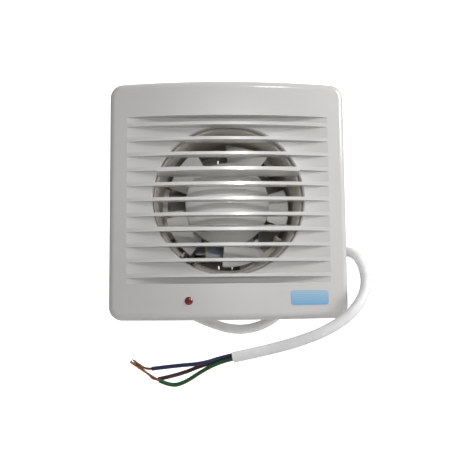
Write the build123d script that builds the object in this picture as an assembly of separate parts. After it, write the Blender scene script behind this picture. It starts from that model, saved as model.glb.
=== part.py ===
from build123d import *
import math
import os

# Bathroom extractor fan, millimetres. The wall plane is Y = 0 and the duct axis is the Y axis:
# the louvred front faces -Y, the duct spigot runs back along +Y, +X is right and +Z is up.

# ---------------------------------------------------------------- front cover
cover_width = 158.0
cover_height = 158.0
cover_depth = 28.0            # wall plane to the crest of the bowed front
face_radius = 340.0           # bow of the front about a vertical axis
cover_wall = 2.2
cover_corner = 9.0
cover_edge_round = 5.0
opening_radius = 50.0         # round air opening behind the slats
slat_count = 11
slat_pitch = 10.0
slat_thickness = 2.0
slat_taper = 0.3              # growth of each slat's side towards the groove floor
groove_half_width = 67.0      # where the flat groove floor meets the bowed front
groove_end_height = 4.3       # the half-height groove above the first slat and below the last
deep_bar_step = 2             # slats this far either side of the middle one are deep bars
deep_bar_depth = 13.0
deep_bar_flare = 2.6
collar_wall = 2.0
collar_overlap = 0.5          # the collar runs on past the front of the inlet ring
opening_bevel = 0.8
catch_width = 10.0
catch_spacing = 90.0
catch_height = 1.6
catch_reach = 1.1
catch_distance = 8.0          # catches, measured from the wall plane
catch_clearance = 0.2

# ---------------------------------------------------------------- label and indicator
label_width = 25.0
label_height = 9.5
label_thickness = 0.2
label_corner = 2.0
label_x = 52.5
label_z = -65.0
lamp_x = -26.3
lamp_z = -66.3
lens_radius = 2.5
lens_clearance = 0.1
lens_dome = 1.0
lens_flange_radius = 3.8
lens_flange_thickness = 1.2
neon_radius = 3.0
neon_length = 11.0
neon_clearance = 0.2
neon_lens_gap = 0.5
lens_seat_gap = 0.5           # lens flange to the back of the bowed wall at the lens
neon_showing = 3.0            # length of the neon lamp that stands out of its post
post_wall = 1.4
lamp_lead_radius = 0.45
lamp_lead_height = 2.6        # leads above the inside face of the base plate
lamp_lead_spacing = 2.8
lamp_slot_height = 6.0
lamp_slot_half_width = 4.2
lamp_lead_entry_drop = 1.2    # leads enter the block below the middle of their ways
lamp_lead_end_gap = 0.2       # leads to the side of the block
resistor_place = 0.6          # along the upper lead
resistor_radius = 1.2
resistor_length = 6.0

# ---------------------------------------------------------------- base frame
base_clearance = 0.5          # base rim to cover skirt, each side
base_thickness = 2.5
rim_wall = 2.0
rim_height = 12.0
spigot_radius = 49.0          # outside, for a 100 mm duct
spigot_wall = 2.0
spigot_length = 78.0
inlet_gap = 0.5               # front of the inlet ring to the back of the deep bars
inlet_flare = 1.4
inlet_lip_wall = 0.8          # lip round the ring's front, just inside the cover's collar
inlet_lip_depth = 2.5
screw_hole_radius = 2.3
screw_boss_radius = 5.0
screw_boss_height = 5.0
screw_spacing_x = 132.0
screw_spacing_z = 80.0
rib_thickness = 1.6
rib_height = 9.0
long_rib_z = -50.0            # rib above the wiring space
strut_angles = (186.0, 306.0, 66.0)
strut_width = 4.0
strut_depth = 4.0
foot_half_angle = 24.0
foot_depth = 3.8
carrier_radius = 25.0
carrier_thickness = 3.0
carrier_y = 26.0

# ---------------------------------------------------------------- backdraft shutter
shutter_y = 70.0              # pin of the two half-round flaps, behind the motor
flap_gap = 0.7                # flap edge to duct wall
flap_thickness = 1.2
flap_pin_radius = 1.5
flap_pin_clearance = 0.05     # running clearance of the knuckles on the pin
knuckle_radius = 3.0
knuckle_length = 16.0
knuckle_spacing = 4.0
flap_rib_thickness = 1.2
flap_rib_height = 2.0
flap_pin_inset = 1.0          # pin's ends inside the duct wall
flap_inner_gap = 0.6          # flap plate to the other flap's knuckles
ledge_depth = 2.5
ledge_thickness = 1.6
ledge_gap = 0.4
pin_boss_half = 4.0
pin_boss_height = 5.0
bar_half_width = 5.0
bar_thickness = 2.4
spring_wire = 0.5
spring_coil_radius = 2.1      # middle of the wire
spring_turns = 4
spring_turn_pitch = 0.425
spring_leg_gap = 0.02         # long leg to its flap
spring_leg_length = 10.0
spring_foot_reach = 2.8       # short leg, from the pin's axis towards the middle bar

# ---------------------------------------------------------------- impeller
hub_radius = 29.5
hub_wall = 2.0
dome_tip_y = -9.0
dome_height = 13.0
hub_rear_y = 24.0
hub_edge_round = 2.5
blade_count = 5
blade_phase = 69.0            # angle of one blade's middle, seen from the front
blade_half_angle = 20.0
blade_tip_radius = 44.0
blade_front_y = 6.0
blade_rear_y = 23.0
blade_root_thickness = 2.0
blade_tip_thickness = 1.5
blade_camber = 1.6
boss_radius = 6.0
boss_rear_y = 14.0
hub_rib_count = 6
hub_rib_thickness = 1.2
hub_rib_setback = 6.0         # ribs end this far in front of the boss's end
clip_thickness = 0.8
clip_width = 4.0
clip_gap = 3.0
clip_setback = 1.0            # clip to the end of the boss

# ---------------------------------------------------------------- motor
shaft_radius = 2.5
shaft_front_y = -3.0
shaft_rear_y = 61.5
bush_radius = 5.0
bush_clearance = 0.03         # running clearance of the shaft in its bushes
bush_length = 7.0
bush_setback = 1.0            # bush to the face of the stack
shaft_hole_clearance = 0.6    # shaft in the bridges and the motor plate
washer_recess_clearance = 1.0
bearing_boss_radius = 8.0
carrier_bore_clearance = 1.0
motor_standoff = 4.0
standoff_radius = 4.5
bracket_thickness = 3.0
bracket_height = 15.0
bracket_boss_length = 8.0
bracket_corner = 4.0
bracket_inset = 1.0           # bridge ends to the sides of the stack
stack_width = 48.0
stack_top = 22.0
stack_bottom = -34.0
stack_length = 16.0
stack_corner = 3.0
air_gap = 0.4
rotor_radius = 12.0
rotor_length = 14.0
rotor_end_ring = 2.5          # width of the cast end ring at the rotor's rim
rotor_hub_wall = 3.0
rotor_dish_depth = 1.2        # dished ends between rim and hub
washer_radius = 4.6
shaft_end_play = 0.3
coil_limb = 8.0               # height of the limb that carries the coil
window_height = 10.0
window_half_width = 16.0
bobbin_wall = 1.0
bobbin_clearance = 0.3
winding_thickness = 4.0
winding_end_gap = 0.2
bobbin_flange_margin = 0.4    # flanges beyond the winding
shading_slot = 1.8
shading_ring_size = 1.6
shading_angles = (50.0, 230.0)
shading_reach = 4.0
shading_stand_out = 1.2       # rings in front of and behind the stack
motor_screw_radius = 2.0
motor_screw_clearance = 0.15
motor_screw_spacing = 40.0
motor_screw_head_radius = 3.6
motor_screw_head_height = 2.6
motor_screw_slot = 1.0        # width of the cross slot
motor_screw_slot_depth = 1.2
motor_screw_tip = 0.8         # screw past its nut
nut_across = 7.0
nut_height = 3.2

# ---------------------------------------------------------------- terminals and wiring
block_left = -54.0
block_length = 16.0
block_height = 12.0
block_width = 17.0
block_middle_z = -64.5
way_count = 3
way_pitch = 5.5
wire_height = 6.0             # wires above the inside face of the base plate
clamp_radius = 2.4
clamp_bore = 1.45
clamp_length = 13.0
terminal_screw_radius = 1.3
terminal_screw_spacing = 8.0
terminal_screw_length = 3.6
terminal_slot_width = 0.5
terminal_slot_depth = 0.8
tower_bore = 1.9
tower_height = 3.0            # screw towers above the block's body
tower_half_width = 2.4
tower_inset = 1.0
fixing_screw_radius = 1.2
fixing_screw_clearance = 0.1
fixing_head_radius = 2.2
fixing_head_height = 1.6
fixing_thread_depth = 1.8
fixing_slot_width = 0.6
fixing_slot_depth = 0.7
fixing_tip_gap = 0.2          # screw tip to the end of its hole
ear_height = 4.0
ear_reach = 5.0
ear_half_width = 3.0
supply_core_radius = 1.3
lead_radius = 0.8
lead_angles = (232.0, 236.0, 240.0)
lead_wall_gap = 0.1
lead_first_run = 1.8          # first lead, from the block to its climb
lead_spacing = 2.0
lead_over_wall = 3.5          # leads turn over the ring this far outside it
lead_climb_z = -51.5
lead_climb_step = 0.8
lead_rear_gap = 3.0           # first lead's turn behind the front of the stack
lead_rear_step = 4.0
lead_largest_bend = 6.0
core_mouth_gap = 3.0          # supply cores straighten this far in front of the block
core_second_bend = 3.0
channel_wall = 1.0
channel_height = 2.2
channel_half_width = 5.4
channel_notch_gap = 2.0       # ribs start this far behind the notch
notch_half_width = 6.2
notch_depth = 3.6
notch_lead_gap = 1.1          # leads to the front of the inlet ring

# ---------------------------------------------------------------- cable
cable_diameter = 7.0
core_diameter = 2.6
strand_diameter = 1.2
grommet_x = -62.0
grommet_z = -62.0
grommet_radius = 5.9
grommet_hole_clearance = 0.1
grommet_flange_radius = 7.3
grommet_flange_thickness = 2.0
grommet_nose_radius = 4.6
grommet_nose_y = 17.0
grommet_taper_start_y = 1.0
core_lay_radius = 1.56        # distance of each core from the cable's axis
core_lay_angles = (90.0, 330.0, 210.0)

cable_route = [
    (grommet_x, grommet_nose_y, grommet_z),
    (grommet_x, 29.0, grommet_z),
    (-55.0, 42.0, -64.5),
    (-39.0, 48.0, -72.0),
    (-16.0, 44.5, -84.0),
    (8.5, 38.0, -91.0),
    (31.0, 32.0, -85.0),
    (46.5, 27.5, -68.5),
    (60.0, 23.5, -48.0),
    (75.0, 17.5, -33.5),
    (89.0, 6.6, -33.4),
    (91.8, -9.5, -44.0),
    (90.0, -24.2, -59.5),
    (78.8, -33.0, -74.5),
    (62.0, -33.0, -85.5),
    (42.5, -29.5, -93.0),
    (22.5, -25.0, -98.5),
    (2.0, -21.0, -103.0),
]
core_lead_out = 7.0           # each core first follows the cable's own line
blue_route = [(-18.0, -21.8, -106.6), (-34.0, -21.4, -107.6), (-50.5, -19.6, -109.6)]
brown_route = [(-17.5, -16.4, -108.0), (-32.0, -17.0, -113.8), (-46.4, -17.0, -116.6)]
green_route = [(-16.5, -20.6, -110.4), (-29.0, -21.4, -118.4), (-38.0, -21.0, -120.6),
               (-45.4, -20.8, -117.0)]
strand_lead_out = 3.0         # each strand first follows its core's own line
blue_strand = [(-58.2, -19.4, -107.4), (-63.2, -19.4, -103.2)]
brown_strand = [(-53.0, -17.3, -113.0), (-58.4, -17.8, -109.0), (-64.4, -18.0, -104.6)]
green_strand = [(-52.4, -20.9, -112.6), (-58.0, -20.9, -109.2), (-64.2, -20.9, -104.6)]

# ---------------------------------------------------------------- worked-out places
bow_y = face_radius - cover_depth
deep_bar_back_y = deep_bar_depth - cover_depth
inlet_height = -deep_bar_back_y - inlet_gap      # inlet ring in front of the wall plane
floor_y = bow_y - math.sqrt(face_radius ** 2 - groove_half_width ** 2)
pan_back_y = floor_y + cover_wall
pan_top_z = (slat_count - 1) / 2 * slat_pitch + slat_thickness / 2 + groove_end_height
spigot_bore = spigot_radius - spigot_wall
front_face_y = -base_thickness
stack_front_y = carrier_y + carrier_thickness + motor_standoff + bracket_thickness
stack_rear_y = stack_front_y + stack_length
stack_bore = rotor_radius + air_gap
rotor_front_y = stack_front_y + (stack_length - rotor_length) / 2
rear_bracket_rear_y = stack_rear_y + bracket_thickness
carrier_bore = bearing_boss_radius + carrier_bore_clearance
motor_screw_hole = motor_screw_radius + motor_screw_clearance
block_right = block_left + block_length
block_low_z = block_middle_z - block_width / 2
block_high_z = block_middle_z + block_width / 2
block_top_y = front_face_y - block_height
wire_y = front_face_y - wire_height
way_zs = [block_middle_z + (1 - way) * way_pitch for way in range(way_count)]
fixing_z = block_high_z + ear_reach / 2
fixing_xs = [block_left + ear_half_width, block_right - ear_half_width]
terminal_xs = [(block_left + block_right - terminal_screw_spacing) / 2,
               (block_left + block_right + terminal_screw_spacing) / 2]
clamp_x0 = (block_left + block_right - clamp_length) / 2
clamp_x1 = clamp_x0 + clamp_length
limb_low = stack_bottom
limb_high = stack_bottom + coil_limb
lens_front_y = bow_y - math.sqrt(face_radius ** 2 - lamp_x ** 2)
lens_flange_y = lens_front_y + cover_wall + lens_seat_gap
neon_front_y = lens_flange_y + lens_flange_thickness + neon_lens_gap
neon_rear_y = neon_front_y + neon_length
post_bore = neon_radius + neon_clearance
post_radius = post_bore + post_wall
post_top_y = neon_front_y + neon_showing
lamp_lead_y = front_face_y - lamp_lead_height
grommet_hole = grommet_radius + grommet_hole_clearance
cable_radius = cable_diameter / 2
sheath_end_y = front_face_y - grommet_flange_thickness

os.makedirs("parts", exist_ok=True)


def save(name, shape):
    export_step(shape, f"parts/{name}.step")


def block(x0, x1, y0, y1, z0, z1):
    return Pos((x0 + x1) / 2, (y0 + y1) / 2, (z0 + z1) / 2) * Box(x1 - x0, y1 - y0, z1 - z0)


def rod(radius, y0, y1, x=0.0, z=0.0):
    """A round bar along Y."""
    return Pos(x, (y0 + y1) / 2, z) * Rot(90, 0, 0) * Cylinder(radius, y1 - y0)


def pipe(outer, inner, y0, y1, x=0.0, z=0.0):
    return rod(outer, y0, y1, x, z) - rod(inner, y0 - 1, y1 + 1, x, z)


def cross_rod(radius, x0, x1, y, z):
    """A round bar along X."""
    return Pos((x0 + x1) / 2, y, z) * Rot(0, 90, 0) * Cylinder(radius, x1 - x0)


def slab(outline, x0, x1):
    """A (Y, Z) outline drawn out along X."""
    wire = Polyline(*[(x0, y, z) for y, z in outline], close=True)
    return extrude(make_face(wire), x1 - x0, dir=(1, 0, 0))


def turned(outline):
    """A (radius, Y) outline turned about the Y axis."""
    wire = Polyline(*[(r, y, 0) for r, y in outline], close=True)
    return revolve(make_face(wire), Axis.Y, 360)


def around(angle, shape):
    """Turn a shape modelled on the +X side to an angle counted from +X towards +Z."""
    return Rot(0, -angle, 0) * shape


def bend_radii(points, share=0.45):
    radii = []
    for before, here, after in zip(points, points[1:], points[2:]):
        into = Vector(*here) - Vector(*before)
        out = Vector(*after) - Vector(*here)
        turn = into.get_angle(out)
        radii.append(share * min(into.length, out.length) / math.tan(math.radians(turn) / 2))
    return radii


def tube(points, diameter, radii=None, label=None):
    """A round tube of straight runs joined by tangent arcs."""
    radii = radii or bend_radii(points)
    path = FilletPolyline(*points, radius=radii)
    start = Plane(origin=points[0], z_dir=Vector(*points[1]) - Vector(*points[0]))
    solid = sweep(start * Circle(diameter / 2), path=path)
    if label:
        section = math.pi * diameter ** 2 / 4
        print(f"{label}: length {path.length:.1f}, tightest radius {min(radii):.1f}, radii",
              [round(r, 1) for r in radii], f"volume ratio {solid.volume / section / path.length:.4f}")
    return solid


# ================================================================ front cover
def bowed_body(inset, edge_round):
    """The cover's outside form, or the form inside its wall."""
    width = cover_width - 2 * inset
    height = cover_height - 2 * inset
    body = block(-width / 2, width / 2, -cover_depth - 1, 1 if inset else 0, -height / 2, height / 2)
    body = fillet(body.edges().filter_by(Axis.Y), cover_corner - inset)
    bow = Pos(0, bow_y, 0) * Cylinder(face_radius - inset, height + 2)
    body = body & bow
    rim = [edge for edge in body.edges() if edge.center().Y < -cover_depth / 3 and not is_depth_line(edge)]
    return fillet(rim, edge_round)


def is_depth_line(edge):
    box = edge.bounding_box().size
    return box.X < 0.01 and box.Z < 0.01


def groove_outline(z_low, z_high, low_taper, high_taper):
    front = -cover_depth - 2
    return [(front, z_low - low_taper * 0.2), (front, z_high + high_taper * 0.2),
            (floor_y, z_high - high_taper), (floor_y, z_low + low_taper)]


def make_front_cover():
    outside = bowed_body(0, cover_edge_round)
    cover = outside - bowed_body(cover_wall, cover_edge_round - cover_wall)
    pan_half = groove_half_width + cover_wall
    pan = block(-pan_half, pan_half, -cover_depth - 1, pan_back_y,
                -pan_top_z - cover_wall, pan_top_z + cover_wall)
    cover += pan & outside

    half = (slat_count - 1) / 2
    reach = cover_width / 2
    for gap in range(slat_count - 1):
        low = (gap - half) * slat_pitch + slat_thickness / 2
        high = (gap - half + 1) * slat_pitch - slat_thickness / 2
        cover -= slab(groove_outline(low, high, slat_taper, slat_taper), -reach, reach)
    edge_low = half * slat_pitch + slat_thickness / 2
    cover -= slab(groove_outline(edge_low, pan_top_z, slat_taper, 0), -reach, reach)
    cover -= slab(groove_outline(-pan_top_z, -edge_low, 0, slat_taper), -reach, reach)

    cover -= rod(opening_radius, -cover_depth - 2, pan_back_y + 1)
    cover -= turned([(0, floor_y - 1), (opening_radius + opening_bevel + 1, floor_y - 1),
                     (opening_radius, floor_y + opening_bevel), (0, floor_y + opening_bevel)])
    collar_rear_y = -inlet_height + collar_overlap
    cover += pipe(opening_radius + collar_wall, opening_radius, pan_back_y - 0.5, collar_rear_y)

    mouth = rod(opening_radius + 1.2, -cover_depth - 2, 0)
    for slat in range(slat_count):
        z = (slat - half) * slat_pitch
        front = slat_thickness / 2
        back = front + slat_taper
        bar = slab([(-cover_depth - 1, z - front), (-cover_depth - 1, z + front),
                    (pan_back_y, z + back), (pan_back_y, z - back)], -reach, reach)
        cover += bar & outside & mouth
    for side in (1, -1):
        z = side * deep_bar_step * slat_pitch
        outer = z + side * slat_thickness / 2
        inner = z - side * slat_thickness / 2
        wedge = slab([(-cover_depth - 1, outer), (deep_bar_back_y, outer),
                      (deep_bar_back_y, inner - side * deep_bar_flare), (-cover_depth - 1, inner)],
                     -reach, reach)
        cover += wedge & outside & rod(opening_radius + 0.6, -cover_depth - 2, deep_bar_back_y)

    cover -= rod(lens_radius + lens_clearance, -cover_depth - 2, -base_thickness, lamp_x, lamp_z)
    for x in (-catch_spacing / 2, catch_spacing / 2):
        for side in (1, -1):
            inner_z = cover_height / 2 - cover_wall
            notch = block(x - catch_width / 2 - catch_clearance, x + catch_width / 2 + catch_clearance,
                          -catch_distance - catch_height - catch_clearance,
                          -catch_distance + catch_clearance,
                          inner_z - 1, inner_z + catch_reach - base_clearance + catch_clearance)
            cover -= notch if side > 0 else mirror(notch, about=Plane.XY)
    return cover


def make_label():
    shell = Pos(0, bow_y, 0) * (Cylinder(face_radius + label_thickness, cover_height)
                                - Cylinder(face_radius, cover_height))
    patch = block(label_x - label_width / 2, label_x + label_width / 2, -cover_depth - 2, floor_y + 4,
                  label_z - label_height / 2, label_z + label_height / 2)
    patch = fillet(patch.edges().filter_by(Axis.Y), label_corner)
    return shell & patch


def make_lens():
    body = rod(lens_radius, lens_front_y, lens_flange_y, lamp_x, lamp_z)
    dome_ball = (lens_radius ** 2 + lens_dome ** 2) / (2 * lens_dome)
    dome = Pos(lamp_x, lens_front_y - lens_dome + dome_ball, lamp_z) * Sphere(dome_ball)
    body += dome & rod(lens_radius, lens_front_y - lens_dome - 1, lens_front_y, lamp_x, lamp_z)
    flange_end = lens_flange_y + lens_flange_thickness
    return body + rod(lens_flange_radius, lens_flange_y, flange_end, lamp_x, lamp_z)


def make_neon():
    bulb = rod(neon_radius, neon_front_y, neon_rear_y, lamp_x, lamp_z)
    return fillet(bulb.edges().group_by(Axis.Y)[0], neon_radius * 0.8)


def make_lamp_wiring():
    offset = lamp_lead_spacing / 2
    upper_start = (lamp_x, neon_rear_y, lamp_z + offset)
    upper_turn = (lamp_x, lamp_lead_y, lamp_z + offset)
    upper_end = (block_right + lamp_lead_end_gap, lamp_lead_y, way_zs[0] - lamp_lead_entry_drop)
    lower_start = (lamp_x, neon_rear_y, lamp_z - offset)
    lower_turn = (lamp_x, lamp_lead_y, lamp_z - offset)
    lower_end = (block_right + lamp_lead_end_gap, lamp_lead_y, way_zs[1] - lamp_lead_entry_drop)
    run = Vector(*upper_end) - Vector(*upper_turn)
    middle = Vector(*upper_turn) + run * resistor_place
    step = run.normalized() * (resistor_length / 2)
    body = Plane(origin=middle - step, z_dir=run) * Pos(0, 0, resistor_length / 2)
    resistor = body * Cylinder(resistor_radius, resistor_length)
    resistor = fillet(resistor.edges(), resistor_radius * 0.4)
    near = tuple(middle - step)
    far = tuple(middle + step)
    bend = [lamp_lead_radius * 2]
    first = tube([upper_start, upper_turn, near], 2 * lamp_lead_radius, bend)
    stub = Vector(*upper_end) - Vector(*far)
    second = (Plane(origin=far, z_dir=stub) * Pos(0, 0, stub.length / 2)
              * Cylinder(lamp_lead_radius, stub.length))
    lower = tube([lower_start, lower_turn, lower_end], 2 * lamp_lead_radius, bend)
    return Compound(children=[first, second, lower]), resistor


# ================================================================ base frame
def make_base_frame():
    half_x = cover_width / 2 - cover_wall - base_clearance
    half_z = cover_height / 2 - cover_wall - base_clearance
    corner = cover_corner - cover_wall - base_clearance
    outer = block(-half_x, half_x, -rim_height, 0, -half_z, half_z)
    outer = fillet(outer.edges().filter_by(Axis.Y), corner)
    pocket = block(-half_x + rim_wall, half_x - rim_wall, -rim_height - 1, front_face_y,
                   -half_z + rim_wall, half_z - rim_wall)
    pocket = fillet(pocket.edges().filter_by(Axis.Y), corner - rim_wall)
    frame = outer - pocket

    for x in (-catch_spacing / 2, catch_spacing / 2):
        for side in (1, -1):
            catch = slab([(-catch_distance, half_z - 0.5), (-catch_distance, half_z + catch_reach),
                          (-catch_distance - catch_height, half_z + 0.2),
                          (-catch_distance - catch_height, half_z - 0.5)],
                         x - catch_width / 2, x + catch_width / 2)
            frame += catch if side > 0 else mirror(catch, about=Plane.XY)

    # ribs that stiffen the plate from the duct to the rim
    for angle in (0, 90, 180, 270):
        rib = block(spigot_bore + 0.5, half_x - rim_wall / 2, -rib_height, front_face_y + 0.5,
                    -rib_thickness / 2, rib_thickness / 2)
        frame += around(angle, rib)
    frame += block(-half_x + rim_wall / 2, -2.0, -rib_height, front_face_y + 0.5,
                   long_rib_z - rib_thickness / 2, long_rib_z + rib_thickness / 2)
    for x in (-screw_spacing_x / 2, screw_spacing_x / 2):
        for z in (-screw_spacing_z / 2, screw_spacing_z / 2):
            frame += rod(screw_boss_radius, -screw_boss_height, front_face_y + 0.5, x, z)

    # inlet ring with its flared mouth, and the duct spigot
    frame += rod(spigot_radius, -inlet_height, spigot_length)
    frame += rod(spigot_radius + inlet_lip_wall, -inlet_height, -inlet_height + inlet_lip_depth)
    frame -= rod(spigot_bore, -inlet_height - 1, spigot_length + 1)
    flare_end = -inlet_height + 3 * inlet_flare
    frame -= turned([(0, -inlet_height - 1), (spigot_bore + inlet_flare, -inlet_height - 1),
                     (spigot_bore + inlet_flare, -inlet_height), (spigot_bore, flare_end), (0, flare_end)])

    # three struts with curved feet carry the motor plate
    carrier = rod(carrier_radius, carrier_y, carrier_y + carrier_thickness)
    ring = pipe(spigot_bore + 0.5, spigot_bore - foot_depth, carrier_y, carrier_y + strut_depth)
    for angle in strut_angles:
        arm = block(carrier_radius - 2, spigot_bore + 0.5, carrier_y, carrier_y + strut_depth,
                    -strut_width / 2, strut_width / 2)
        wide = spigot_radius + 10
        slope = wide * math.tan(math.radians(foot_half_angle))
        sector = extrude(make_face(Polyline((0, carrier_y - 1, 0), (wide, carrier_y - 1, slope),
                                            (wide, carrier_y - 1, -slope), close=True)),
                         strut_depth + 2, dir=(0, 1, 0))
        carrier += around(angle, arm)
        carrier += ring & around(angle, sector)
    frame += carrier

    for x in (-motor_screw_spacing / 2, motor_screw_spacing / 2):
        rear = carrier_y + carrier_thickness + motor_standoff
        frame += rod(standoff_radius, carrier_y, rear, x, 0)
        frame -= rod(motor_screw_hole, carrier_y - 1, rear + 1, x, 0)
    frame -= rod(carrier_bore, carrier_y - 1, carrier_y + carrier_thickness + 1)

    # the leads pass over a notch in the inlet ring and run back in a channel
    middle_angle = sum(lead_angles) / len(lead_angles)
    frame -= around(middle_angle, block(spigot_bore - 2, spigot_radius + 2, -inlet_height - 1,
                                        -inlet_height + notch_depth, -notch_half_width, notch_half_width))
    for side in (-1, 1):
        edge = side * channel_half_width
        channel_front_y = -inlet_height + notch_depth + channel_notch_gap
        rib = block(spigot_bore - channel_height, spigot_bore + 0.5, channel_front_y, carrier_y,
                    edge - channel_wall / 2, edge + channel_wall / 2)
        frame += around(middle_angle, rib)

    # lamp post, terminal block seat, holes
    frame += rod(post_radius, post_top_y, front_face_y + 0.5, lamp_x, lamp_z)
    frame -= rod(post_bore, post_top_y - 1, front_face_y, lamp_x, lamp_z)
    frame -= block(lamp_x - post_radius - 1, lamp_x, front_face_y - lamp_slot_height, front_face_y,
                   lamp_z - lamp_slot_half_width, lamp_z + lamp_slot_half_width)
    for x in fixing_xs:
        frame -= rod(fixing_screw_radius, front_face_y - 1, front_face_y + fixing_thread_depth, x, fixing_z)
    frame += make_shutter_seat()
    frame -= flap_pin(flap_pin_radius)
    for x in (-screw_spacing_x / 2, screw_spacing_x / 2):
        for z in (-screw_spacing_z / 2, screw_spacing_z / 2):
            frame -= rod(screw_hole_radius, -screw_boss_height - 1, 1, x, z)
    frame -= rod(grommet_hole, front_face_y - 1, 1, grommet_x, grommet_z)
    return frame


# ================================================================ backdraft shutter
def flap_pin(radius):
    length = 2 * (spigot_bore - flap_pin_inset)
    return Pos(0, shutter_y, 0) * Cylinder(radius, length)


def make_shutter_seat():
    """The ledge and middle bar that the closed flaps rest on, and the blocks that hold their pin."""
    ledge_rear = shutter_y - flap_thickness / 2 - ledge_gap
    seat = pipe(spigot_bore + 0.5, spigot_bore - ledge_depth, ledge_rear - ledge_thickness, ledge_rear)
    inside = rod(spigot_bore + 0.5, 0, spigot_length)
    bar_rear = shutter_y - knuckle_radius - ledge_gap
    bar = block(-bar_half_width, bar_half_width, bar_rear - bar_thickness, bar_rear,
                -spigot_radius, spigot_radius)
    seat += bar & inside
    for side in (-1, 1):
        inner = side * (spigot_bore - pin_boss_height)
        low, high = sorted((inner, side * spigot_radius))
        boss = block(-pin_boss_half, pin_boss_half, bar_rear - 0.5, shutter_y + knuckle_radius, low, high)
        seat += boss & inside
    return seat


def make_flap(side):
    """One half-round flap with two knuckles on the pin; side is -1 for the left flap and 1 for the right."""
    inner = knuckle_radius + flap_inner_gap
    radius = spigot_bore - flap_gap
    plate = rod(radius, shutter_y - flap_thickness / 2, shutter_y + flap_thickness / 2)
    plate = plate & block(inner, radius + 1, shutter_y - 5, shutter_y + 5, -radius, radius)
    boss_clear = math.hypot(pin_boss_half, knuckle_radius) + flap_inner_gap
    boss_foot = spigot_bore - pin_boss_height - flap_inner_gap
    plate -= block(0, boss_clear, shutter_y - 5, shutter_y + 5, boss_foot, radius + 1)
    plate -= block(0, boss_clear, shutter_y - 5, shutter_y + 5, -radius - 1, -boss_foot)
    plate += block(radius * 0.3, radius * 0.9, shutter_y, shutter_y + flap_rib_height,
                   -flap_rib_thickness / 2, flap_rib_thickness / 2)
    step = knuckle_length + knuckle_spacing
    first = -2 * step + knuckle_spacing / 2 + (0 if side < 0 else step)
    for knuckle in range(2):
        low = first + knuckle * 2 * step
        barrel = Pos(0, shutter_y, low + knuckle_length / 2) * Cylinder(knuckle_radius, knuckle_length)
        web = block(0, inner + 1, shutter_y - flap_thickness / 2, shutter_y + flap_thickness / 2,
                    low, low + knuckle_length)
        plate += barrel + web
    plate -= flap_pin(flap_pin_radius + flap_pin_clearance)
    return plate if side > 0 else mirror(plate, about=Plane.YZ)


def make_flap_spring(side):
    """A close-wound torsion spring between two knuckles: one leg lies on its flap, one points at the bar."""
    wire = spring_wire / 2
    middle_z = side * (knuckle_length + knuckle_spacing)
    low_z = middle_z - (spring_turns - 1) * spring_turn_pitch / 2
    spring = Pos(0, shutter_y, low_z) * Torus(spring_coil_radius, wire)
    for turn in range(1, spring_turns):
        spring += Pos(0, shutter_y, low_z + turn * spring_turn_pitch) * Torus(spring_coil_radius, wire)
    leg_y = shutter_y + flap_thickness / 2 + wire + spring_leg_gap
    leg_start = math.sqrt(spring_coil_radius ** 2 - (leg_y - shutter_y) ** 2)
    spring += cross_rod(wire, leg_start, spring_leg_length, leg_y, low_z)
    foot_x = spring_coil_radius * 0.7
    foot_start = math.sqrt(spring_coil_radius ** 2 - foot_x ** 2)
    spring += rod(wire, shutter_y - spring_foot_reach, shutter_y - foot_start, -foot_x, low_z)
    return spring if side > 0 else mirror(spring, about=Plane.YZ)


# ================================================================ impeller and what turns with it
def make_impeller():
    ball = (hub_radius ** 2 + dome_height ** 2) / (2 * dome_height)
    centre_y = dome_tip_y + ball
    rim_y = dome_tip_y + dome_height
    outside = rod(hub_radius, dome_tip_y - 1, hub_rear_y)
    outside = outside & (Pos(0, centre_y, 0) * Sphere(ball) + rod(hub_radius, rim_y, hub_rear_y))
    shoulder = [e for e in outside.edges() if abs(e.center().Y - rim_y) < 0.1 and e.length > hub_radius * 6]
    outside = fillet(shoulder, hub_edge_round)
    inner_radius = hub_radius - hub_wall
    inside = rod(inner_radius, dome_tip_y - 1, hub_rear_y + 1)
    inside_ball = Pos(0, centre_y, 0) * Sphere(ball - hub_wall)
    inside = inside & (inside_ball + rod(inner_radius, rim_y + 1, hub_rear_y + 1))
    impeller = outside - inside
    boss_front_y = dome_tip_y + hub_wall / 2
    impeller += rod(boss_radius, boss_front_y, boss_rear_y)
    for rib in range(hub_rib_count):
        web = block(boss_radius - 1, hub_radius - hub_wall / 2, dome_tip_y, boss_rear_y - hub_rib_setback,
                    -hub_rib_thickness / 2, hub_rib_thickness / 2)
        impeller += around((rib + 0.5) * 360 / hub_rib_count, web & outside)
    impeller -= rod(shaft_radius, shaft_front_y, boss_rear_y + 1)

    tip_trim = rod(blade_tip_radius, blade_front_y - 5, blade_rear_y + 5)
    for blade in range(blade_count):
        impeller += around(blade_phase + blade * 360 / blade_count, make_blade() & tip_trim)
    return impeller


def blade_section(distance, thickness):
    half = distance * math.tan(math.radians(blade_half_angle))
    middle = (blade_front_y + blade_rear_y) / 2
    lift = thickness / 2
    front = [(-half, blade_front_y - lift), (0, middle - blade_camber - lift), (half, blade_rear_y - lift)]
    rear = [(half, blade_rear_y + lift), (0, middle - blade_camber + lift), (-half, blade_front_y + lift)]
    sheet = Plane(origin=(distance, 0, 0), x_dir=(0, 0, 1), z_dir=(1, 0, 0))
    front = [sheet.from_local_coords((t, -y, 0)) for t, y in front]
    rear = [sheet.from_local_coords((t, -y, 0)) for t, y in rear]
    first = ThreePointArc(*front)
    second = Line(front[2], rear[0])
    third = ThreePointArc(*rear)
    fourth = Line(rear[2], front[0])
    return make_face([first, second, third, fourth])


def make_blade():
    root = blade_section(hub_radius - hub_wall * 0.6, blade_root_thickness)
    tip = blade_section(blade_tip_radius + 1, blade_tip_thickness)
    return loft([root, tip], ruled=True)


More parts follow.
